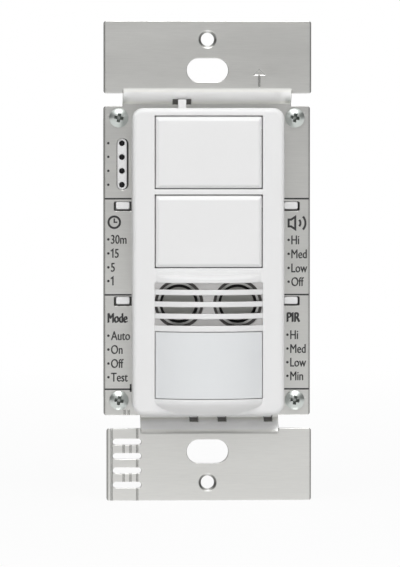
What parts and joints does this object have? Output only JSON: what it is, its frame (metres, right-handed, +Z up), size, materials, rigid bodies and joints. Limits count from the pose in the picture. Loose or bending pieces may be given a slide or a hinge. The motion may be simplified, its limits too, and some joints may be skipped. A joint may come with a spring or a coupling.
{
  "type": "motion sensor light switch",
  "caption": "In-wall occupancy sensor switch: metal strap, white bezel with push paddles, grille over sound transducers, bulged motion lens, setting buttons and a rear case.",
  "frame": {"origin": "centre of the mounting pattern, on the rear face of the strap's end tabs", "axes": "X to the viewer's right, Y into the wall, Z up"},
  "size_m": [0.0454, 0.0425, 0.1048],
  "materials": {
    "strap_aluminium": "satin stamped sheet",
    "white_plastic": "smooth white moulding",
    "lens_plastic": "milky soft plastic",
    "holder_plastic": "pale moulding",
    "can_metal": "drawn can",
    "disc_metal": "grey spun disc",
    "ring_rubber": "soft black ring",
    "black_plastic": "black moulding",
    "dark_window": "smoked clear plastic",
    "led_chip": "small pale chip",
    "case_plastic": "dark moulding with a fine grain",
    "board_laminate": "green coated laminate",
    "film_block": "cast block",
    "storage_sleeve": "shrunk sleeve",
    "varistor_coat": "dipped coat",
    "fuse_body": "fired body",
    "zinc_steel": "bright zinc plate",
    "terminal_brass": "bright brass",
    "ground_green": "green plated screw"
  },
  "bodies": {
    "switch_frame": {"yoke": "strap_aluminium", "bezel": "white_plastic", "indicator_strip": "white_plastic", "lens": "lens_plastic", "transducer_holder": "holder_plastic", "transducer_cans": "can_metal", "pir_can": "can_metal", "transducer_discs": "disc_metal", "transducer_rings": "ring_rubber", "transducer_bases": "black_plastic", "microcontroller": "black_plastic", "button_switches": "black_plastic", "setting_switches": "black_plastic", "pir_spacer": "black_plastic", "board_header": "black_plastic", "relay_upper": "black_plastic", "relay_lower": "black_plastic", "bridge_rectifier": "black_plastic", "light_pipes": "dark_window", "pir_window": "dark_window", "indicator_leds": "led_chip", "rear_housing": "case_plastic", "inner_cover": "case_plastic", "control_board": "board_laminate", "power_board": "board_laminate", "film_capacitor": "film_block", "storage_capacitor": "storage_sleeve", "varistor": "varistor_coat", "fuse": "fuse_body", "housing_screws": "zinc_steel", "ground_strap": "zinc_steel", "terminal_plates": "terminal_brass", "terminal_screws": "terminal_brass", "ground_screw": "ground_green"},
    "upper_button": {"upper_button": "white_plastic"},
    "lower_button": {"lower_button": "white_plastic"},
    "upper_plunger": {"upper_plunger": "black_plastic"},
    "lower_plunger": {"lower_plunger": "black_plastic"},
    "timer_button": {"timer_button": "white_plastic", "timer_plunger": "black_plastic"},
    "sound_button": {"sound_button": "white_plastic", "sound_plunger": "black_plastic"},
    "mode_button": {"mode_button": "white_plastic", "mode_plunger": "black_plastic"},
    "motion_button": {"motion_button": "white_plastic", "motion_plunger": "black_plastic"}
  },
  "joints": [
    {"name": "upper_button_press", "type": "hinge", "parent": "switch_frame", "child": "upper_button", "pos_m": [0, -0.0034, 0.02984], "axis": [1, 0, 0], "range_deg": [0, 2], "stiffness_Nm_per_rad": 0.24, "springref_deg": -1.72},
    {"name": "lower_button_press", "type": "hinge", "parent": "switch_frame", "child": "lower_button", "pos_m": [0, -0.0034, 0.01268], "axis": [1, 0, 0], "range_deg": [0, 2], "stiffness_Nm_per_rad": 0.24, "springref_deg": -1.72},
    {"name": "upper_plunger_slide", "type": "slide", "parent": "switch_frame", "child": "upper_plunger", "axis": [0, 1, 0], "range_m": [0, 0.0004]},
    {"name": "lower_plunger_slide", "type": "slide", "parent": "switch_frame", "child": "lower_plunger", "axis": [0, 1, 0], "range_m": [0, 0.0004]},
    {"name": "timer_button_press", "type": "slide", "parent": "switch_frame", "child": "timer_button", "axis": [0, 1, 0], "range_m": [0, 0.0004], "stiffness_N_per_m": 1500, "springref_m": -0.0003},
    {"name": "sound_button_press", "type": "slide", "parent": "switch_frame", "child": "sound_button", "axis": [0, 1, 0], "range_m": [0, 0.0004], "stiffness_N_per_m": 1500, "springref_m": -0.0003},
    {"name": "mode_button_press", "type": "slide", "parent": "switch_frame", "child": "mode_button", "axis": [0, 1, 0], "range_m": [0, 0.0004], "stiffness_N_per_m": 1500, "springref_m": -0.0003},
    {"name": "motion_button_press", "type": "slide", "parent": "switch_frame", "child": "motion_button", "axis": [0, 1, 0], "range_m": [0, 0.0004], "stiffness_N_per_m": 1500, "springref_m": -0.0003}
  ],
  "couplings": [
    {"joint": "upper_plunger_slide", "follows": "upper_button_press", "m_per_rad": 0.0096},
    {"joint": "lower_plunger_slide", "follows": "lower_button_press", "m_per_rad": 0.0096}
  ]
}
